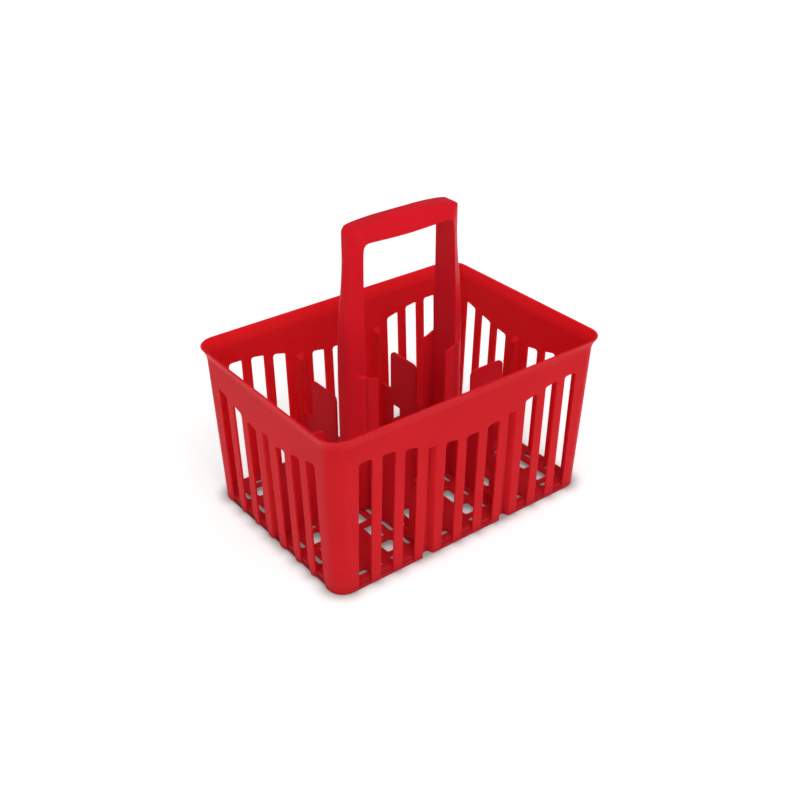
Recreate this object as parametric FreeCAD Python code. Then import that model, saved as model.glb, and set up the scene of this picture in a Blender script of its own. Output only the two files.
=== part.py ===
import FreeCAD, Part
import math
import os

# Carrier for six bottles: a slotted, tapered basket with a flared rim, and an
# insert that drops into it. The insert is the carrying handle, its two hollow
# columns and the dividers that part the bottles.
# Millimetres. X runs along the basket, Y across it, Z up. The origin is the
# middle of the base, on the floor that the basket stands on.

# ---- basket: overall form ----
RIM_LENGTH = 340.0
RIM_WIDTH = 243.0
BASKET_HEIGHT = 181.0
FLARE_OUT = 5.1
FLARE_HEIGHT = 14.0
FLARE_STEPS = 5
FLARE_POWER = 1.8
WALL_DRAFT = 5.8
CORNER_RADIUS = 17.2
WALL = 2.5
CORNER_REACH = 21.0

# ---- basket: slots and flutes ----
CELLS_LONG = 3
CELLS_SHORT = 2
SLOTS_PER_CELL = 3
CELL_PITCH_LONG = 101.5
CELL_PITCH_SHORT = 103.5
SLOT_PITCH = 26.3
SLOT_WIDTH = 15.5
SLOT_CORNER = 3.0
SLOT_BOTTOM = 7.0
SILL_RECESS_SHORT = 1.7
SILL_RECESS_LONG = 0.0
SILL_STEP = 1.0
SILL_SPREAD = 4.0
SILL_FADE = 16.0
BAND_LOW = 126.5
BAND_RISE = 21.5
BAND_REACH = 125.0
FLUTE_MOUTH = (13.5, 10.0)
FLUTE_BED = (7.0, 1.6)
FLUTE_DEPTH = 6.5
FLUTE_SKIN = 1.8
FLUTE_TOP = 133.5
FLUTE_TOP_SLOPE = 0.8

# ---- basket: openwork floor ----
# Windows of one quarter of a cell: distance from its middle along X and Y, length, width
FLOOR_BOTTOM = 3.0
FLOOR_TOP = 7.0
FLOOR_WINDOWS = [
    (27.0, 0.0, 13.0, 24.0),
    (26.0, 27.5, 17.0, 18.0),
    (43.5, 0.0, 6.0, 22.0),
    (43.5, 29.0, 6.0, 18.0),
    (0.0, 44.5, 9.0, 7.0),
    (20.0, 44.5, 12.0, 7.0),
]
WINDOW_ROUND = 2.4

# ---- insert: dividers ----
DIVIDER = 2.6
DIVIDER_X = 53.0
DIVIDER_TOP = 65.0
FIN_TOP_CROSS = 113.5
FIN_TOP_SPINE = 111.0
FIN_ROUND = 6.5
CROSS_FIN = (41.0, 86.5)
SPINE_FIN = (95.5, 141.5)
WINDOW_SPAN = (68.5, 83.5)
WINDOW_HEIGHT = (16.0, 46.0)
CLEARANCE = 0.4

# ---- insert: hollow columns under the handle ----
COLUMN_TOP = 167.0
COLUMN_SKIN = 2.4
COLUMN_WEB_X = 56.0
COLUMN_HALF = 20.0
COLUMN_SHOULDER_X = 61.0
COLUMN_OUTER_X = 73.0
COLUMN_NOSE_HALF = 9.0
FLANGE_X = 43.0
FLANGE_DROP = 6.0
FLANGE_ROUND = 4.0

# ---- insert: handle ----
HANDLE_ROUND = 1.4
HANDLE_SKIN = 3.0
HANDLE_INNER_ROUND = 0.6
HANDLE_NOSE_SKIN = 2.4
LEG_END = 167.0


class HandleSection:
    """One cross-section of the handle, for x >= 0.

    It runs from a wide inner face, on the hand opening, to a narrow outer one.
    """

    def __init__(self, inner_x, inner_z, outer_x, outer_z, inner_half, outer_half):
        self.inner = (inner_x, inner_z)
        self.outer = (outer_x, outer_z)
        self.inner_half = inner_half
        self.outer_half = outer_half


GRIP_MIDDLE = HandleSection(0.0, 299.1, 0.0, 320.3, 12.9, 5.4)
GRIP_SIDE = [
    HandleSection(20.0, 299.6, 20.0, 319.6, 13.1, 6.8),
    HandleSection(35.0, 300.5, 35.0, 318.1, 13.5, 9.2),
    HandleSection(45.5, 301.1, 49.5, 316.6, 13.9, 10.0),
]
SHOULDER = [
    GRIP_SIDE[-1],
    HandleSection(49.8, 300.4, 59.0, 315.2, 14.1, 8.8),
    HandleSection(52.0, 298.1, 64.2, 312.0, 14.3, 6.9),
    HandleSection(52.8, 294.1, 66.1, 305.0, 14.4, 5.6),
]
LEG = [
    SHOULDER[-1],
    HandleSection(53.8, 283.0, 66.8, 285.0, 14.9, 5.0),
    HandleSection(54.8, 255.0, 68.5, 255.0, 15.9, 5.8),
    HandleSection(55.4, 226.0, 71.2, 226.0, 16.9, 7.0),
    HandleSection(55.6, 200.0, 72.3, 200.0, 17.8, 8.4),
    HandleSection(56.0, LEG_END, 73.0, LEG_END, 18.6, 9.0),
]

UP = FreeCAD.Vector(0, 0, 1)
ACROSS = FreeCAD.Vector(0, 1, 0)
BIG = 1000.0
PARALLEL = 0.99
TOUCHING = 0.01


def vec(x, y, z):
    return FreeCAD.Vector(x, y, z)


def wall_half_length(z):
    """Half length of the basket's outer face at height z, below the flare."""
    base = RIM_LENGTH / 2 - FLARE_OUT - WALL_DRAFT
    return base + WALL_DRAFT * z / BASKET_HEIGHT


def wall_half_width(z):
    """Half width of the basket's outer face at height z, below the flare."""
    base = RIM_WIDTH / 2 - FLARE_OUT - WALL_DRAFT
    return base + WALL_DRAFT * z / BASKET_HEIGHT


def band_edge(distance):
    """Height of the slot tops at a distance from the middle of a wall."""
    share = min(abs(distance) / BAND_REACH, 1.0)
    return BAND_LOW + BAND_RISE * (1 - math.cos(math.pi * share)) / 2


def polygon(points):
    """Closed wire through the points."""
    return Part.makePolygon(list(points) + [points[0]])


def prism(points, direction):
    """Solid made by pushing the polygon through a direction vector."""
    return Part.Face(polygon(points)).extrude(direction)


def tetrahedron(points):
    """Solid with the four points as its corners."""
    faces = [Part.Face(polygon(points[:index] + points[index + 1:])) for index in range(4)]
    return Part.Solid(Part.Shell(faces))


def box(x0, x1, y0, y1, z0, z1):
    return Part.makeBox(x1 - x0, y1 - y0, z1 - z0, vec(x0, y0, z0))


def runs_along(edge, direction):
    """Whether a straight edge is parallel to a unit vector."""
    return abs(edge.tangentAt(edge.FirstParameter).dot(direction)) > PARALLEL


def rounded_rectangle(half_x, half_y, radius, z):
    """Horizontal rounded rectangle as a wire of four lines and four arcs."""
    edges = []
    diagonal = radius / math.sqrt(2)
    centres = [(1, 1), (-1, 1), (-1, -1), (1, -1)]
    for index, (sx, sy) in enumerate(centres):
        cx = sx * (half_x - radius)
        cy = sy * (half_y - radius)
        along_x = vec(cx + sx * radius, cy, z)
        along_y = vec(cx, cy + sy * radius, z)
        middle = vec(cx + sx * diagonal, cy + sy * diagonal, z)
        start, end = (along_x, along_y) if index % 2 == 0 else (along_y, along_x)
        edges.append((start, middle, end))
    shapes = []
    for index, (start, middle, end) in enumerate(edges):
        shapes.append(Part.Arc(start, middle, end).toShape())
        next_start = edges[(index + 1) % len(edges)][0]
        shapes.append(Part.makeLine(end, next_start))
    return Part.Wire(shapes)


def flare_offset(height_share):
    """Outward lean of the rim, from 0 at the flare's foot to 1 at its lip."""
    return height_share ** FLARE_POWER


def basket_block(inset):
    """Solid block inside the basket's outer face, moved inwards by inset."""
    foot = BASKET_HEIGHT - FLARE_HEIGHT
    body = Part.makeLoft([
        rounded_rectangle(wall_half_length(0) - inset, wall_half_width(0) - inset,
                          CORNER_RADIUS - inset, 0),
        rounded_rectangle(wall_half_length(foot) - inset, wall_half_width(foot) - inset,
                          CORNER_RADIUS - inset, foot),
    ], True, True)
    wires = []
    for step in range(FLARE_STEPS + 1):
        share = step / FLARE_STEPS
        z = foot + FLARE_HEIGHT * share
        out = FLARE_OUT * flare_offset(share)
        wires.append(rounded_rectangle(wall_half_length(z) + out - inset,
                                       wall_half_width(z) + out - inset,
                                       CORNER_RADIUS + out - inset, z))
    rim = Part.makeLoft(wires, True, False)
    return body, rim


def slot_cutter(centre, is_short_wall, side):
    """Cutter for one slot of a wall.

    The slot's top follows the band under the rim, and its sill slopes down
    and out to the wall's bottom edge.
    """
    left = centre - SLOT_WIDTH / 2
    right = centre + SLOT_WIDTH / 2
    outline = polygon([
        vec(left, 0, SLOT_BOTTOM),
        vec(right, 0, SLOT_BOTTOM),
        vec(right, 0, band_edge(right)),
        vec(left, 0, band_edge(left)),
    ])
    hole = Part.Face(outline).extrude(vec(0, 4 * WALL_DRAFT, 0))
    through = [edge for edge in hole.Edges if runs_along(edge, ACROSS)]
    hole = hole.makeFillet(SLOT_CORNER, through)
    wall_face = wall_half_length(0) if is_short_wall else wall_half_width(0)
    hole.translate(vec(0, wall_face - 2 * WALL_DRAFT, 0))
    recess = SILL_RECESS_SHORT if is_short_wall else SILL_RECESS_LONG
    sill = prism([
        vec(left, wall_face - recess, 0),
        vec(left, wall_face - recess, -WALL),
        vec(left, wall_face + 2 * WALL, -WALL),
        vec(left, wall_face + 2 * WALL, SLOT_BOTTOM + SLOT_CORNER),
        vec(left, wall_face - WALL, SLOT_BOTTOM + SLOT_CORNER),
        vec(left, wall_face - WALL, SLOT_BOTTOM - SILL_STEP),
    ], vec(SLOT_WIDTH, 0, 0))
    cutter = hole.fuse(sill)
    if recess > 0:
        foot = wall_face + TOUCHING
        for edge, outward in ((left, -1), (right, 1)):
            cutter = cutter.fuse(tetrahedron([
                vec(edge, foot - recess, -TOUCHING),
                vec(edge + outward * SILL_SPREAD, foot, -TOUCHING),
                vec(edge, foot + WALL_DRAFT * SILL_FADE / BASKET_HEIGHT, SILL_FADE),
                vec(edge, foot + WALL, -TOUCHING),
            ]))
    if side < 0:
        cutter.rotate(vec(0, 0, 0), UP, 180)
    if is_short_wall:
        cutter.rotate(vec(0, 0, 0), UP, -90)
    return cutter


def flute_wire(face, half_mouth, half_bed, depth, z, rise):
    """Flat trapezium of a flute at one height, open towards +Y."""
    return polygon([
        vec(-half_mouth, face + rise, z),
        vec(-half_bed, face - depth, z),
        vec(half_bed, face - depth, z),
        vec(half_mouth, face + rise, z),
    ])


def flute_pair(is_long_wall):
    """Ridge to add inside a wall, and groove to cut from its outer face.

    Both narrow from the base to the top.
    """
    half_at = wall_half_width if is_long_wall else wall_half_length
    ridge_wires = []
    groove_wires = []
    for z, mouth, bed in zip((0, FLUTE_TOP), FLUTE_MOUTH, FLUTE_BED):
        side_slope = (mouth - bed) / 2 / FLUTE_DEPTH
        skin_side = FLUTE_SKIN * math.hypot(1, side_slope)
        ridge_bed = bed / 2 + skin_side - FLUTE_SKIN * side_slope
        ridge_wires.append(flute_wire(half_at(z) - WALL / 2, mouth / 2 + skin_side, ridge_bed,
                                      FLUTE_DEPTH + FLUTE_SKIN - WALL / 2, z, 0))
        mouth_spread = 2 * WALL * side_slope
        groove_wires.append(flute_wire(half_at(z), mouth / 2 + mouth_spread, bed / 2,
                                       FLUTE_DEPTH, z, 2 * WALL))
    wall_middle = half_at(FLUTE_TOP) - WALL / 2
    fall = FLUTE_TOP_SLOPE * FLUTE_TOP
    ridge_top = prism([
        vec(-FLUTE_TOP, wall_middle, FLUTE_TOP),
        vec(-FLUTE_TOP, wall_middle - FLUTE_TOP, FLUTE_TOP),
        vec(-FLUTE_TOP, wall_middle - FLUTE_TOP, FLUTE_TOP - fall),
    ], vec(2 * FLUTE_TOP, 0, 0))
    groove_top = prism([
        vec(-FLUTE_TOP, wall_middle + FLUTE_TOP, FLUTE_TOP),
        vec(-FLUTE_TOP, wall_middle, FLUTE_TOP - FLUTE_SKIN),
        vec(-FLUTE_TOP, wall_middle - FLUTE_TOP, FLUTE_TOP - FLUTE_SKIN - fall),
        vec(-FLUTE_TOP, wall_middle - FLUTE_TOP, FLUTE_TOP + WALL),
        vec(-FLUTE_TOP, wall_middle + FLUTE_TOP, FLUTE_TOP + WALL),
    ], vec(2 * FLUTE_TOP, 0, 0))
    ridge = Part.makeLoft(ridge_wires, True, True).cut(ridge_top)
    groove = Part.makeLoft(groove_wires, True, True).cut(groove_top)
    return ridge, groove


def slot_centres(cells, cell_pitch):
    """Slot positions along a wall, cell by cell."""
    centres = []
    for cell in range(cells):
        middle = (cell - (cells - 1) / 2) * cell_pitch
        for slot in range(SLOTS_PER_CELL):
            centres.append(middle + (slot - (SLOTS_PER_CELL - 1) / 2) * SLOT_PITCH)
    return centres


def flute_centres(cells, cell_pitch):
    """Flute positions along a wall, one between each two cells."""
    return [(index + 1 - cells / 2) * cell_pitch for index in range(cells - 1)]


def placed(shape, offset, is_long_wall, side):
    """Moves a feature made on the +Y wall at x = 0 to its own wall."""
    copy = shape.copy()
    copy.translate(vec(offset, 0, 0))
    if side < 0:
        copy.rotate(vec(0, 0, 0), UP, 180)
    if not is_long_wall:
        copy.rotate(vec(0, 0, 0), UP, -90)
    return copy


def basket_shell():
    """The whole wall ring: drafted walls, flared rim, slots and flutes."""
    outer_body, outer_rim = basket_block(0)
    inner_body, inner_rim = basket_block(WALL)
    ring = outer_body.cut(inner_body)
    rim = outer_rim.cut(inner_rim)
    ring = ring.fuse(rim)
    ridges = []
    cutters = []
    for is_long_wall, cells, pitch in ((True, CELLS_LONG, CELL_PITCH_LONG),
                                       (False, CELLS_SHORT, CELL_PITCH_SHORT)):
        ridge, groove = flute_pair(is_long_wall)
        for side in (1, -1):
            for centre in flute_centres(cells, pitch):
                ridges.append(placed(ridge, centre, is_long_wall, side))
                cutters.append(placed(groove, centre, is_long_wall, side))
            for centre in slot_centres(cells, pitch):
                cutters.append(slot_cutter(centre, not is_long_wall, side))
    ring = ring.fuse(ridges)
    ring = ring.cut(cutters)
    return ring


def cell_floor_windows():
    """Cutters for the windows in one cell's floor, about the cell's middle."""
    cutters = []
    for x, y, length, width in FLOOR_WINDOWS:
        outline = rounded_rectangle(length / 2, width / 2, WINDOW_ROUND, 0)
        cutter = Part.Face(outline).extrude(vec(0, 0, 2 * FLOOR_TOP))
        for place_x in sorted({x, -x}):
            for place_y in sorted({y, -y}):
                copy = cutter.copy()
                copy.translate(vec(place_x, place_y, 0))
                cutters.append(copy)
    return cutters


def floor():
    """Openwork floor plate inside the walls, with the flutes cleared."""
    outline = rounded_rectangle(wall_half_length(0) - WALL, wall_half_width(0) - WALL,
                                CORNER_RADIUS - WALL, FLOOR_BOTTOM)
    plate = Part.Face(outline).extrude(vec(0, 0, FLOOR_TOP - FLOOR_BOTTOM))
    cutters = []
    for is_long_wall, cells, pitch in ((True, CELLS_LONG, CELL_PITCH_LONG),
                                       (False, CELLS_SHORT, CELL_PITCH_SHORT)):
        ridge, groove = flute_pair(is_long_wall)
        for side in (1, -1):
            for centre in flute_centres(cells, pitch):
                cutters.append(placed(ridge, centre, is_long_wall, side))
                cutters.append(placed(groove, centre, is_long_wall, side))
    for cell_x in range(CELLS_LONG):
        for cell_y in range(CELLS_SHORT):
            middle = vec((cell_x - (CELLS_LONG - 1) / 2) * CELL_PITCH_LONG,
                         (cell_y - (CELLS_SHORT - 1) / 2) * CELL_PITCH_SHORT, 0)
            for window in cell_floor_windows():
                window.translate(middle)
                cutters.append(window)
    return plate.cut(cutters)


def fin_outline(start, end, top, tongue_start, tongue_end):
    """Upright outline of a divider arm: a low wall with one rounded tongue."""
    foot = FLOOR_TOP
    low = DIVIDER_TOP
    round_in = FIN_ROUND * (1 - 1 / math.sqrt(2))
    corner_a = tongue_start + FIN_ROUND
    corner_b = tongue_end - FIN_ROUND
    edges = [
        Part.makeLine(vec(start, 0, foot), vec(end, 0, foot)),
        Part.makeLine(vec(end, 0, foot), vec(end, 0, low)),
        Part.makeLine(vec(end, 0, low), vec(tongue_end, 0, low)),
        Part.makeLine(vec(tongue_end, 0, low), vec(tongue_end, 0, top - FIN_ROUND)),
        Part.Arc(vec(tongue_end, 0, top - FIN_ROUND),
                 vec(tongue_end - round_in, 0, top - round_in),
                 vec(corner_b, 0, top)).toShape(),
        Part.makeLine(vec(corner_b, 0, top), vec(corner_a, 0, top)),
        Part.Arc(vec(corner_a, 0, top),
                 vec(tongue_start + round_in, 0, top - round_in),
                 vec(tongue_start, 0, top - FIN_ROUND)).toShape(),
        Part.makeLine(vec(tongue_start, 0, top - FIN_ROUND), vec(tongue_start, 0, low)),
        Part.makeLine(vec(tongue_start, 0, low), vec(start, 0, low)),
        Part.makeLine(vec(start, 0, low), vec(start, 0, foot)),
    ]
    return Part.Wire(edges)


def divider_arm(start, end, top, tongue):
    """Divider arm along +X from start to end, centred on y = 0."""
    outline = fin_outline(start, end, top, tongue[0], tongue[1])
    arm = Part.Face(outline).extrude(vec(0, DIVIDER, 0))
    arm.translate(vec(0, -DIVIDER / 2, 0))
    return arm


def cross_arm(side_x, side_y):
    """Divider arm from a column towards a long wall."""
    end = wall_half_width(0) - FLUTE_DEPTH - FLUTE_SKIN - CLEARANCE
    arm = divider_arm(COLUMN_HALF, end, FIN_TOP_CROSS, CROSS_FIN)
    arm = arm.cut(box(WINDOW_SPAN[0], WINDOW_SPAN[1], -DIVIDER, DIVIDER,
                      WINDOW_HEIGHT[0], WINDOW_HEIGHT[1]))
    arm.rotate(vec(0, 0, 0), UP, 90 * side_y)
    arm.translate(vec(side_x * DIVIDER_X, 0, 0))
    return arm


def spine_arm(side_x):
    """Divider arm from a column towards a short wall."""
    end = wall_half_length(0) - FLUTE_DEPTH - FLUTE_SKIN - CLEARANCE
    arm = divider_arm(COLUMN_OUTER_X, end, FIN_TOP_SPINE, SPINE_FIN)
    if side_x < 0:
        arm.rotate(vec(0, 0, 0), UP, 180)
    return arm


def spine_middle():
    """Low divider between the two columns, under the grip."""
    half = COLUMN_WEB_X
    return box(-half, half, -DIVIDER / 2, DIVIDER / 2, FLOOR_TOP, DIVIDER_TOP)


def column_outline(shrink, z):
    """Hexagonal outline of the hollow column, moved inwards by shrink."""
    web = COLUMN_WEB_X + shrink
    half = COLUMN_HALF - shrink
    shoulder = COLUMN_SHOULDER_X
    nose = COLUMN_OUTER_X - shrink
    nose_half = COLUMN_NOSE_HALF - shrink / 2
    return polygon([
        vec(web, -half, z), vec(shoulder, -half, z), vec(nose, -nose_half, z),
        vec(nose, nose_half, z), vec(shoulder, half, z), vec(web, half, z),
    ])


def column(side_x):
    """Hollow column under one leg, with two flanges towards the middle cells."""
    height = COLUMN_TOP - FLOOR_TOP
    tube = Part.Face(column_outline(0, FLOOR_TOP)).extrude(vec(0, 0, height))
    bore = Part.Face(column_outline(COLUMN_SKIN, FLOOR_TOP)).extrude(vec(0, 0, height))
    tube = tube.cut(bore)
    flanges = []
    for side_y in (1, -1):
        face_y = side_y * COLUMN_HALF
        inner_y = side_y * (COLUMN_HALF - COLUMN_SKIN)
        flange = prism([
            vec(FLANGE_X, face_y, FLOOR_TOP),
            vec(COLUMN_WEB_X, face_y, FLOOR_TOP),
            vec(COLUMN_WEB_X, face_y, COLUMN_TOP - FLANGE_DROP / 3),
            vec(FLANGE_X, face_y, COLUMN_TOP - FLANGE_DROP),
        ], vec(0, inner_y - face_y, 0))
        corner = [edge for edge in flange.Edges
                  if abs(edge.CenterOfMass.x - FLANGE_X) < TOUCHING
                  and edge.CenterOfMass.z > COLUMN_TOP - 2 * FLANGE_DROP
                  and runs_along(edge, ACROSS)]
        flanges.append(flange.makeFillet(FLANGE_ROUND, corner))
    shape = tube.fuse(flanges).removeSplitter()
    if side_x < 0:
        shape.rotate(vec(0, 0, 0), UP, 180)
    return shape


def rounded_corner(before, corner, after, radius):
    """Tangent arc that rounds a corner between two straight sides."""
    to_before = (before - corner).normalize()
    to_after = (after - corner).normalize()
    half_angle = to_before.getAngle(to_after) / 2
    reach = radius / math.tan(half_angle)
    bisector = (to_before + to_after).normalize()
    start = corner + to_before * reach
    end = corner + to_after * reach
    centre = corner + bisector * (radius / math.sin(half_angle))
    middle = centre - bisector * radius
    return start, middle, end


def handle_wire(section, side_x, shrink):
    """Rounded trapezium of the handle at one section.

    The bore is the same outline moved inwards by shrink, which may be zero.
    """
    nose_shrink = min(shrink, HANDLE_NOSE_SKIN)
    inner = vec(side_x * section.inner[0], 0, section.inner[1])
    outer = vec(side_x * section.outer[0], 0, section.outer[1])
    reach = (outer - inner).normalize()
    inner_point = inner + reach * shrink
    outer_point = outer - reach * shrink
    corners = [
        inner_point - ACROSS * (section.inner_half - shrink),
        outer_point - ACROSS * (section.outer_half - nose_shrink),
        outer_point + ACROSS * (section.outer_half - nose_shrink),
        inner_point + ACROSS * (section.inner_half - shrink),
    ]
    radius = HANDLE_INNER_ROUND if shrink else HANDLE_ROUND
    arcs = []
    for index, corner in enumerate(corners):
        before = corners[index - 1]
        after = corners[(index + 1) % len(corners)]
        arcs.append(rounded_corner(before, corner, after, radius))
    edges = []
    for index, (start, middle, end) in enumerate(arcs):
        edges.append(Part.Arc(start, middle, end).toShape())
        edges.append(Part.makeLine(end, arcs[(index + 1) % len(arcs)][0]))
    return Part.Wire(edges)


def handle_span(sections, side_x, shrink, is_curved):
    """Loft through neighbouring sections on one side, curved or in straight spans."""
    wires = [handle_wire(section, side_x, shrink) for section in sections]
    return Part.makeLoft(wires, True, not is_curved)


def grip_span(shrink):
    """Smooth loft of the grip, from one shoulder to the other."""
    wires = [handle_wire(section, -1, shrink) for section in reversed(GRIP_SIDE)]
    wires.append(handle_wire(GRIP_MIDDLE, 1, shrink))
    wires += [handle_wire(section, 1, shrink) for section in GRIP_SIDE]
    return Part.makeLoft(wires, True, False)


def grip():
    """Grip with its two shoulders."""
    spans = [handle_span(SHOULDER, side_x, 0, True) for side_x in (-1, 1)]
    return grip_span(0).fuse(spans)


def leg(side_x):
    """Hollow leg between a shoulder and its column, open at the bottom."""
    outside = handle_span(LEG, side_x, 0, False)
    inside = handle_span(LEG, side_x, HANDLE_SKIN, False)
    cap = box(-BIG, BIG, -BIG, BIG, LEG[0].inner[1] - 2 * HANDLE_SKIN, BIG)
    return outside.cut(inside.cut(cap))


def split_shell(shell):
    """Cuts the wall ring into four walls and four corners."""
    reach_x = wall_half_length(0) - CORNER_REACH
    reach_y = wall_half_width(0) - CORNER_REACH
    pieces = {
        "wall_front": (-reach_x, reach_x, -BIG, 0),
        "wall_back": (-reach_x, reach_x, 0, BIG),
        "wall_left": (-BIG, 0, -reach_y, reach_y),
        "wall_right": (0, BIG, -reach_y, reach_y),
        "corner_front_left": (-BIG, -reach_x, -BIG, -reach_y),
        "corner_front_right": (reach_x, BIG, -BIG, -reach_y),
        "corner_back_left": (-BIG, -reach_x, reach_y, BIG),
        "corner_back_right": (reach_x, BIG, reach_y, BIG),
    }
    return {name: shell.common(box(x0, x1, y0, y1, -BIG, BIG))
            for name, (x0, x1, y0, y1) in pieces.items()}


def build_parts():
    parts = split_shell(basket_shell())
    parts["floor"] = floor()
    parts["grip"] = grip()
    for name, side_x in (("left", -1), ("right", 1)):
        parts["leg_" + name] = leg(side_x)
        parts["column_" + name] = column(side_x)
        parts["spine_" + name] = spine_arm(side_x)
        parts["divider_front_" + name] = cross_arm(side_x, -1)
        parts["divider_back_" + name] = cross_arm(side_x, 1)
    parts["spine_middle"] = spine_middle()
    return parts


def main():
    os.makedirs("parts", exist_ok=True)
    for name, shape in build_parts().items():
        if not shape.isValid():
            print("invalid shape:", name)
        print(name, "solids", len(shape.Solids), "volume cm3", round(shape.Volume / 1000, 2))
        shape.exportStep("parts/" + name + ".step")


main()
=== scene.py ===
import math

import bmesh
import bpy
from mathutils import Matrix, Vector


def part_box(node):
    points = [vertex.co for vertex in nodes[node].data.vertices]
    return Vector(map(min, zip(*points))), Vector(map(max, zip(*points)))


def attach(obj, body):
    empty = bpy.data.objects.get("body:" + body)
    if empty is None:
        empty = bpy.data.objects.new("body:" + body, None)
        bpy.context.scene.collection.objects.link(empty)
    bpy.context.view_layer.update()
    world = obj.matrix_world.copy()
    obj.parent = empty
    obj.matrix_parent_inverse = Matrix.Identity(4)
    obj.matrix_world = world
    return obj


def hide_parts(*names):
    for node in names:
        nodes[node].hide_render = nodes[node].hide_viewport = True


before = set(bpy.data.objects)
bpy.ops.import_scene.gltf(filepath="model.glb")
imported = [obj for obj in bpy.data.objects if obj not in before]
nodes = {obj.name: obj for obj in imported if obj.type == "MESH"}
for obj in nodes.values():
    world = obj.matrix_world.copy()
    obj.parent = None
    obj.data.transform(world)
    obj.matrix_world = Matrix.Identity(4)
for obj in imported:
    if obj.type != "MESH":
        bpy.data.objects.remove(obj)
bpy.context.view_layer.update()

MM = 0.001

# ---- view: a low three-quarter view from the front left ----
VIEW_AZIMUTH = math.radians(-37.53)
VIEW_ELEVATION = math.radians(31.06)
VIEW_DISTANCE = 1.07695
VIEW_LENS = 49.89
VIEW_TARGET = Vector((-0.03926, -0.0496, 0.14791))

# ---- studio: a wide soft light on one side, two soft suns, and a white sheet to stand on, with a painted contact shadow ----
SOFTBOX_SIDE = (-0.26, -0.66, 0.70)
SOFTBOX_EDGE = (0.1, 0.95)
SKY_STRENGTH = (0.25, 0.80)
SHEET_REACH = 6.0
SHEET_WHITE = 0.78
SHEET_GLOW = 0.44
# reach and depth of the painted contact shadow on the sheet
CONTACT_REACH = 16 * MM
CONTACT_SHADE = 0.32

# ---- plastic: how deep light reaches into it, and its tint where it flowed dark and light; the insert's tint is painted lighter ----
BASKET_PLASTIC = (14.0 * MM, (0.51, 0.0120, 0.0190, 1.0), (0.55, 0.0145, 0.0215, 1.0))
# the insert is the same red plastic as the basket, its tint painted lighter to stand in for light that
# its parts inside the basket lack
INSERT_PLASTIC_PAINTED_LIGHTER = (1.5 * MM, (0.66, 0.0100, 0.0215, 1.0), (0.70, 0.0125, 0.0240, 1.0))
WHITE = (1.0, 1.0, 1.0, 1.0)

# ---- meshes: softened edges, welding distances, and heights that cut faces with holes ----
EDGE_ROUND = 0.45 * MM
SHARP = math.radians(24)
FLAT = math.radians(0.5)
WELD = 0.002 * MM
SEAM_WELD = 0.02 * MM
ON_PLANE = 0.004 * MM
SLIVER = 0.05 * MM
WALL_CUTS = (30 * MM, 60 * MM, 90 * MM, 120 * MM)
DIVIDER_CUT = 31 * MM


def camera():
    """Camera on a line from the target, at the view's azimuth and elevation."""
    cos_el = math.cos(VIEW_ELEVATION)
    back = Vector((math.sin(VIEW_AZIMUTH) * cos_el,
                   -math.cos(VIEW_AZIMUTH) * cos_el,
                   math.sin(VIEW_ELEVATION)))
    data = bpy.data.cameras.new("camera")
    data.lens = VIEW_LENS
    data.sensor_width = 36.0
    data.clip_start = 0.01
    obj = bpy.data.objects.new("camera", data)
    bpy.context.scene.collection.objects.link(obj)
    obj.location = VIEW_TARGET + back * VIEW_DISTANCE
    obj.rotation_euler = back.to_track_quat("Z", "Y").to_euler()
    bpy.context.scene.camera = obj


def sun(name, towards, strength, spread, colour):
    """Distant light that shines along a direction, softened by its angular size."""
    data = bpy.data.lights.new(name, "SUN")
    data.energy = strength
    data.angle = math.radians(spread)
    data.color = colour
    data.specular_factor = 0.35
    obj = bpy.data.objects.new(name, data)
    bpy.context.scene.collection.objects.link(obj)
    obj.rotation_euler = (-Vector(towards)).to_track_quat("Z", "Y").to_euler()


def studio():
    """Soft light from a sky that is brightest on the softbox side, and from two suns."""
    scene = bpy.context.scene
    scene.view_settings.view_transform = "Standard"
    scene.view_settings.look = "None"
    world = bpy.data.worlds.new("studio")
    world.use_nodes = True
    tree = world.node_tree
    background = tree.nodes["Background"]
    direction = tree.nodes.new("ShaderNodeTexCoord")
    facing = tree.nodes.new("ShaderNodeVectorMath")
    facing.operation = "DOT_PRODUCT"
    facing.inputs[1].default_value = SOFTBOX_SIDE
    tree.links.new(direction.outputs["Generated"], facing.inputs[0])
    glow = tree.nodes.new("ShaderNodeMapRange")
    glow.interpolation_type = "SMOOTHSTEP"
    glow.inputs["From Min"].default_value, glow.inputs["From Max"].default_value = SOFTBOX_EDGE
    glow.inputs["To Min"].default_value, glow.inputs["To Max"].default_value = SKY_STRENGTH
    tree.links.new(facing.outputs["Value"], glow.inputs["Value"])
    tree.links.new(glow.outputs["Result"], background.inputs["Strength"])
    background.inputs["Color"].default_value = WHITE
    scene.world = world
    sun("key", (0.18, 1.0, -1.3), 0.68, 25, (1.0, 1.0, 0.97))
    sun("top", (0.25, 0.2, -1.0), 0.50, 60, (1.0, 1.0, 1.0))


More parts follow.
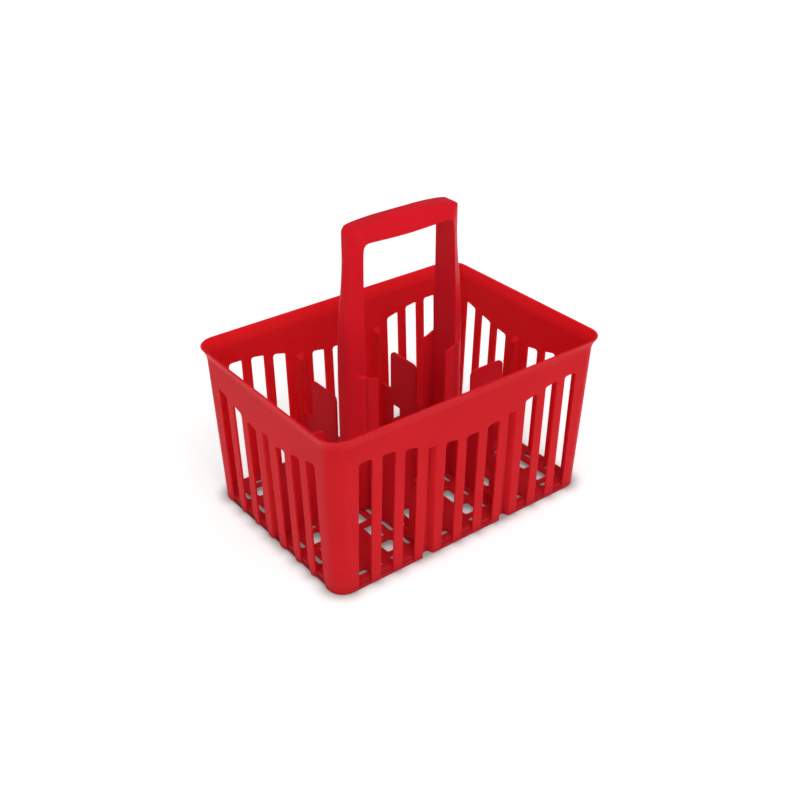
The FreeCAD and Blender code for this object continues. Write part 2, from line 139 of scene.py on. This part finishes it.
def floor_sheet():
    """White sheet under the crate, with a painted contact shadow where the crate stands close over it."""
    mesh = bpy.data.meshes.new("floor_sheet")
    corners = [(x * SHEET_REACH, y * SHEET_REACH, 0) for x, y in ((-1, -1), (1, -1), (1, 1), (-1, 1))]
    mesh.from_pydata(corners, [], [(0, 1, 2, 3)])
    sheet = bpy.data.objects.new("floor_sheet", mesh)
    bpy.context.scene.collection.objects.link(sheet)
    material = bpy.data.materials.new("pale_floor")
    material.use_nodes = True
    tree = material.node_tree
    shader = tree.nodes["Principled BSDF"]
    shader.inputs["Roughness"].default_value = 0.9
    shader.inputs["Specular IOR Level"].default_value = 0.1
    shader.inputs["Emission Color"].default_value = WHITE
    # painted contact shadow: it darkens where something stands close over it
    openness = tree.nodes.new("ShaderNodeAmbientOcclusion")
    openness.inputs["Distance"].default_value = CONTACT_REACH
    painted_contact_shadow = tree.nodes.new("ShaderNodeMapRange")
    painted_contact_shadow.inputs["From Min"].default_value = 0.5
    painted_contact_shadow.inputs["To Min"].default_value = CONTACT_SHADE
    tree.links.new(openness.outputs["AO"], painted_contact_shadow.inputs["Value"])
    for socket, amount in (("Base Color", SHEET_WHITE), ("Emission Strength", SHEET_GLOW)):
        share = tree.nodes.new("ShaderNodeMath")
        share.operation = "MULTIPLY"
        share.inputs[1].default_value = amount
        tree.links.new(painted_contact_shadow.outputs["Result"], share.inputs[0])
        tree.links.new(share.outputs["Value"], shader.inputs[socket])
    mesh.materials.append(material)


def red_plastic(name, depth, dark, light):
    """Satin moulded polyethylene that lets some light through, with a faint orange-peel."""
    material = bpy.data.materials.new(name)
    material.use_nodes = True
    tree = material.node_tree
    shader = tree.nodes["Principled BSDF"]
    shader.inputs["Specular IOR Level"].default_value = 0.02
    shader.inputs["Specular Tint"].default_value = (1.0, 0.90, 0.35, 1.0)
    shader.inputs["IOR"].default_value = 1.5
    shader.inputs["Coat Weight"].default_value = 0.0
    shader.inputs["Subsurface Weight"].default_value = 1.0
    shader.inputs["Subsurface Radius"].default_value = (1.0, 0.12, 0.15)
    shader.inputs["Subsurface Scale"].default_value = depth

    place = tree.nodes.new("ShaderNodeTexCoord")
    flow = tree.nodes.new("ShaderNodeTexNoise")
    flow.inputs["Scale"].default_value = 14.0
    flow.inputs["Detail"].default_value = 4.0
    tree.links.new(place.outputs["Object"], flow.inputs["Vector"])
    tint = tree.nodes.new("ShaderNodeValToRGB")
    tint.color_ramp.elements[0].position = 0.3
    tint.color_ramp.elements[0].color = dark
    tint.color_ramp.elements[1].position = 0.75
    tint.color_ramp.elements[1].color = light
    tree.links.new(flow.outputs["Fac"], tint.inputs["Fac"])
    tree.links.new(tint.outputs["Color"], shader.inputs["Base Color"])

    gloss = tree.nodes.new("ShaderNodeMapRange")
    gloss.inputs["To Min"].default_value = 0.31
    gloss.inputs["To Max"].default_value = 0.39
    tree.links.new(flow.outputs["Fac"], gloss.inputs["Value"])
    tree.links.new(gloss.outputs["Result"], shader.inputs["Roughness"])

    peel = tree.nodes.new("ShaderNodeTexNoise")
    peel.inputs["Scale"].default_value = 900.0
    peel.inputs["Detail"].default_value = 2.0
    tree.links.new(place.outputs["Object"], peel.inputs["Vector"])
    bump = tree.nodes.new("ShaderNodeBump")
    bump.inputs["Strength"].default_value = 0.06
    bump.inputs["Distance"].default_value = 0.0002
    tree.links.new(peel.outputs["Fac"], bump.inputs["Height"])
    tree.links.new(bump.outputs["Normal"], shader.inputs["Normal"])
    return material


def cad_mesh(names):
    """One mesh of the CAD nodes, with the points that they share welded."""
    bm = bmesh.new()
    for name in names:
        bm.from_mesh(nodes[name].data)
    bmesh.ops.remove_doubles(bm, verts=bm.verts[:], dist=WELD)
    return bm


def tidy(bm, cuts):
    """Merges the triangles of flat faces, but never across the cuts, so that no face holds a hole."""
    bmesh.ops.dissolve_degenerate(bm, edges=bm.edges[:], dist=SLIVER)
    for axis, place in cuts:
        normal = [0.0, 0.0, 0.0]
        normal[axis] = 1.0
        point = [0.0, 0.0, 0.0]
        point[axis] = place
        bmesh.ops.bisect_plane(bm, geom=bm.verts[:] + bm.edges[:] + bm.faces[:],
                               dist=WELD, plane_co=point, plane_no=normal)
        for edge in bm.edges:
            if all(abs(v.co[axis] - place) < ON_PLANE for v in edge.verts):
                edge.seam = True
    bmesh.ops.dissolve_limit(bm, angle_limit=FLAT, verts=bm.verts[:],
                             edges=bm.edges[:], delimit={"SEAM"})


def is_sharp(edge):
    return edge.is_manifold and edge.calc_face_angle(0.0) > SHARP


def piece(name, bm, material, replaced, to_round=is_sharp, is_flat=False):
    """Makes an object of the mesh, softens its edges and lets it stand for CAD nodes."""
    mesh = bpy.data.meshes.new(name)
    sharp = [to_round(edge) for edge in bm.edges]
    bm.to_mesh(mesh)
    bm.free()
    weights = mesh.attributes.new("bevel_weight_edge", "FLOAT", "EDGE")
    weights.data.foreach_set("value", [float(flag) for flag in sharp])
    if is_flat:
        mesh.shade_flat()
    else:
        mesh.shade_smooth()
    mesh.materials.append(material)
    obj = bpy.data.objects.new(name, mesh)
    bpy.context.scene.collection.objects.link(obj)
    bevel = obj.modifiers.new("edges", "BEVEL")
    bevel.limit_method = "WEIGHT"
    bevel.width = EDGE_ROUND
    bevel.segments = 2
    bevel.use_clamp_overlap = False
    bevel.harden_normals = False
    normals = obj.modifiers.new("normals", "WEIGHTED_NORMAL")
    normals.keep_sharp = True
    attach(obj, "root")
    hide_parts(*replaced)


WALLS = ["wall_front", "wall_back", "wall_left", "wall_right",
         "corner_front_left", "corner_front_right", "corner_back_left", "corner_back_right"]
SHEETS = ["spine_left", "spine_right", "spine_middle",
          "divider_front_left", "divider_front_right", "divider_back_left", "divider_back_right"]


def basket_walls(material):
    """Walls and corners as one skin, without the faces where the CAD nodes meet."""
    bm = cad_mesh(WALLS)
    joint_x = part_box("wall_front")[1].x
    joint_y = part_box("wall_left")[1].y
    joints = [(0, -joint_x), (0, joint_x), (1, -joint_y), (1, joint_y)]
    caps = [face for face in bm.faces
            if any(all(abs(v.co[axis] - place) < ON_PLANE for v in face.verts) for axis, place in joints)]
    bmesh.ops.delete(bm, geom=caps, context="FACES")
    bmesh.ops.remove_doubles(bm, verts=bm.verts[:], dist=SEAM_WELD)
    tidy(bm, joints + [(2, z) for z in WALL_CUTS])
    piece("basket_walls", bm, material, WALLS)


def basket_floor(material):
    """Openwork floor, which keeps the CAD's triangles round its windows."""
    piece("floor_moulded", cad_mesh(["floor"]), material, ["floor"], is_flat=True)


def sheets(material):
    """Spines and dividers between the bottle cells."""
    for name in SHEETS:
        bm = cad_mesh([name])
        tidy(bm, [(2, DIVIDER_CUT)])
        piece(name + "_moulded", bm, material, [name])


# ---- handle: cross-sections for x >= 0, from the middle of the grip to the column's foot ----
# x of the inner face, its drop below the grip's top, x of the outer face, its drop,
# half depth of the inner face and of the outer face
HANDLE = [
    (0.0, 21.2, 0.0, 0.0, 13.0, 5.4),
    (20.0, 20.7, 20.0, 0.7, 13.2, 6.8),
    (35.0, 19.8, 35.0, 2.2, 13.6, 9.2),
    (46.5, 19.2, 50.0, 3.7, 14.0, 10.0),
    (50.8, 19.9, 60.2, 4.9, 14.2, 8.9),
    (53.0, 22.2, 64.5, 7.8, 14.4, 6.9),
    (53.8, 26.2, 65.7, 14.0, 14.5, 5.5),
    (54.6, 37.3, 66.6, 35.3, 15.0, 5.0),
    (55.4, 65.3, 68.7, 65.3, 15.9, 5.8),
    (56.0, 94.3, 71.6, 94.3, 16.9, 7.0),
    (56.1, 120.3, 72.6, 120.3, 17.7, 8.4),
    (56.2, 144.0, 73.0, 144.0, 18.1, 9.0),
    (56.2, 168.0, 73.0, 168.0, 18.2, 9.0),
    (56.2, 313.3, 73.0, 313.3, 18.2, 9.0),
]
LEDGE_SPAN = (144.0, 168.0)
ROW_STEP = 3.0
LEDGE_ROW_STEP = 0.7
CORNER_STEPS = 4
FLANK_STEPS = 13
INNER_REACH = 1.0
OUTER_REACH = (1.2, 5.0)
OUTER_SOFTENS = (8.0, 60.0)

# ---- hollow columns under the legs, with their flanges towards the middle cells ----
COLUMN_HALF = 20.0
COLUMN_BEND = (57.0, 64.0)
COLUMN_SLOPE = 0.88
COLUMN_SKIN = 2.4
COLUMN_BORE_TOP = 170.0
LEDGE_DROP = 159.2
LEDGE_RISE = 5.2
LEDGE_CLIMB = (45.0, 61.0)
LEDGE_SOFT = (60.0, 67.0)
LEDGE_BAND = (1.4, 13.0)
FLANGE_FREE_X = 43.0
FLANGE_END_X = 57.4
FLANGE_ROUND = 3.0
FLANGE_OUT = 19.97
FLANGE_SKIN = 2.4
FLANGE_STEPS = 36
FLANGE_CROWDING = 1.6


def ease(share):
    """Smooth step from 0 to 1."""
    share = min(max(share, 0.0), 1.0)
    return share * share * (3 - 2 * share)


def smooth_rows(rows):
    """Monotone cubic through the rows, sampled closely where the ledge is."""
    middles = [Vector(((r[0] + r[2]) / 2, (r[1] + r[3]) / 2)) for r in rows]
    at = [0.0]
    for a, b in zip(middles, middles[1:]):
        at.append(at[-1] + (b - a).length)
    count = len(rows[0])
    slopes = []
    for k in range(count):
        secants = [(rows[i + 1][k] - rows[i][k]) / (at[i + 1] - at[i]) for i in range(len(rows) - 1)]
        tangent = [secants[0]]
        for left, right in zip(secants, secants[1:]):
            tangent.append(0.0 if left * right <= 0 else 2 * left * right / (left + right))
        tangent.append(secants[-1])
        slopes.append(tangent)
    # drops and half depths level off at the middle of the grip
    for k in (1, 3, 4, 5):
        slopes[k][0] = 0.0
    samples = []
    for i in range(len(rows) - 1):
        span = at[i + 1] - at[i]
        is_ledge = LEDGE_SPAN[0] <= rows[i][1] and rows[i + 1][1] <= LEDGE_SPAN[1]
        parts = max(1, round(span / (LEDGE_ROW_STEP if is_ledge else ROW_STEP)))
        for j in range(parts):
            t = j / parts
            row = []
            for k in range(count):
                h00 = 2 * t ** 3 - 3 * t ** 2 + 1
                h10 = t ** 3 - 2 * t ** 2 + t
                h01 = -2 * t ** 3 + 3 * t ** 2
                h11 = t ** 3 - t ** 2
                row.append(h00 * rows[i][k] + h10 * span * slopes[k][i]
                           + h01 * rows[i + 1][k] + h11 * span * slopes[k][i + 1])
            samples.append(row)
    samples.append(list(rows[-1]))
    return samples


def ledge_height(x, top):
    """Height of the S-shaped edge where the column's front ends under the leg."""
    return top - LEDGE_DROP + LEDGE_RISE * ease((x - LEDGE_CLIMB[0]) / (LEDGE_CLIMB[1] - LEDGE_CLIMB[0]))


def column_half(x):
    """Half depth of the column: flat where the flanges leave it, then bent towards its nose."""
    start, end = COLUMN_BEND
    bend = min(max(x - start, 0.0), end - start)
    return COLUMN_HALF - COLUMN_SLOPE * (bend * bend / 2 / (end - start) + max(x - end, 0.0))


def ring_points(row, side_x, top, shrink=0.0):
    """Points around one section, with its corners rounded, in metres."""
    inner_x, inner_drop, outer_x, outer_drop, inner_half, outer_half = row
    corners = [Vector((side_x * (inner_x + shrink), shrink - inner_half, top - inner_drop)),
               Vector((side_x * (outer_x - shrink), shrink / 2 - outer_half, top - outer_drop))]
    corners += [Vector((c.x, -c.y, c.z)) for c in reversed(corners)]
    crisp, soft = OUTER_REACH
    high, low = OUTER_SOFTENS
    outer_reach = crisp + (soft - crisp) * ease((outer_drop - high) / (low - high))
    reaches = [INNER_REACH, outer_reach, outer_reach, INNER_REACH]
    arcs = []
    for index, corner in enumerate(corners):
        before = corners[index - 1]
        after = corners[(index + 1) % len(corners)]
        start = corner + (before - corner).normalized() * reaches[index]
        end = corner + (after - corner).normalized() * reaches[index]
        steps = [k / CORNER_STEPS for k in range(CORNER_STEPS + 1)]
        arcs.append([start * (1 - t) ** 2 + corner * 2 * t * (1 - t) + end * t ** 2 for t in steps])
    points = []
    for index, arc in enumerate(arcs):
        points += arc
        if index % 2 == 0:
            following = arcs[index + 1][0]
            points += [arc[-1].lerp(following, k / FLANK_STEPS) for k in range(1, FLANK_STEPS)]
    if shrink == 0.0 and inner_drop >= LEDGE_SPAN[0]:
        for point in points:
            x = abs(point.x)
            spread = ease((x - LEDGE_SOFT[0]) / (LEDGE_SOFT[1] - LEDGE_SOFT[0]))
            band = LEDGE_BAND[0] + (LEDGE_BAND[1] - LEDGE_BAND[0]) * spread
            under = ease((ledge_height(x, top) - point.z) / band + 0.5)
            flank = inner_half + (outer_half - inner_half) * (x - inner_x) / (outer_x - inner_x)
            point.y *= 1 + (column_half(x) / flank - 1) * under
    return [p * MM for p in points]


def skin(bm, rings):
    """Bridges neighbouring rings of vertices with quads."""
    for first, second in zip(rings, rings[1:]):
        for k in range(len(first)):
            k2 = (k + 1) % len(first)
            bm.faces.new((first[k], first[k2], second[k2], second[k]))


def flange(bm, side_x, side_y, top, foot):
    """Upright sheet beside the column, whose free corner is rounded off."""
    outline = []
    for k in range(FLANGE_STEPS + 1):
        x = FLANGE_FREE_X + (FLANGE_END_X - FLANGE_FREE_X) * (k / FLANGE_STEPS) ** FLANGE_CROWDING
        away = max(0.0, 1.0 - (x - FLANGE_FREE_X) / FLANGE_ROUND)
        drop = FLANGE_ROUND * (1 - math.sqrt(1 - away * away))
        outline.append((x, ledge_height(x, top) - drop))
    outline.append((FLANGE_END_X, foot))
    outline.append((FLANGE_FREE_X, foot))
    sides = []
    for y in (FLANGE_OUT, FLANGE_OUT - FLANGE_SKIN):
        sides.append([bm.verts.new(Vector((side_x * x, side_y * y, z)) * MM) for x, z in outline])
    bm.faces.new(sides[0])
    bm.faces.new(list(reversed(sides[1])))
    skin(bm, sides)
    return set(sides[0] + sides[1])


def handle(material):
    """Grip, legs and hollow columns as one tube of rings, with the four flanges beside it."""
    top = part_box("grip")[1].z / MM
    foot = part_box("column_left")[0].z / MM
    half = smooth_rows(HANDLE)
    bm = bmesh.new()
    rings = [ring_points(row, 1, top) for row in half]
    other = [ring_points(row, -1, top) for row in half]
    path = list(reversed(other)) + rings[1:]
    made = [[bm.verts.new(p) for p in ring] for ring in path]
    skin(bm, made)
    bore_rows = [row for row in half if row[1] >= COLUMN_BORE_TOP]
    for side_x, end_ring in ((-1, made[0]), (1, made[-1])):
        bore = [[bm.verts.new(p) for p in ring_points(row, side_x, top, COLUMN_SKIN)]
                for row in reversed(bore_rows)]
        skin(bm, [end_ring] + bore)
        bm.faces.new(bore[-1])
    flange_points = set()
    for side_x in (-1, 1):
        for side_y in (-1, 1):
            flange_points |= flange(bm, side_x, side_y, top, foot)
    bmesh.ops.recalc_face_normals(bm, faces=bm.faces[:])
    piece("handle_and_columns", bm, material,
          ["grip", "leg_left", "leg_right", "column_left", "column_right"],
          lambda edge: edge.verts[0] in flange_points and is_sharp(edge))


camera()
studio()
floor_sheet()
basket_plastic = red_plastic("basket_plastic_red", *BASKET_PLASTIC)
# the insert's copy of the plastic has its tint painted lighter, standing in for light
insert_plastic_painted_lighter = red_plastic("insert_red_plastic_painted_lighter", *INSERT_PLASTIC_PAINTED_LIGHTER)
basket_walls(basket_plastic)
handle(insert_plastic_painted_lighter)
sheets(insert_plastic_painted_lighter)
basket_floor(basket_plastic)
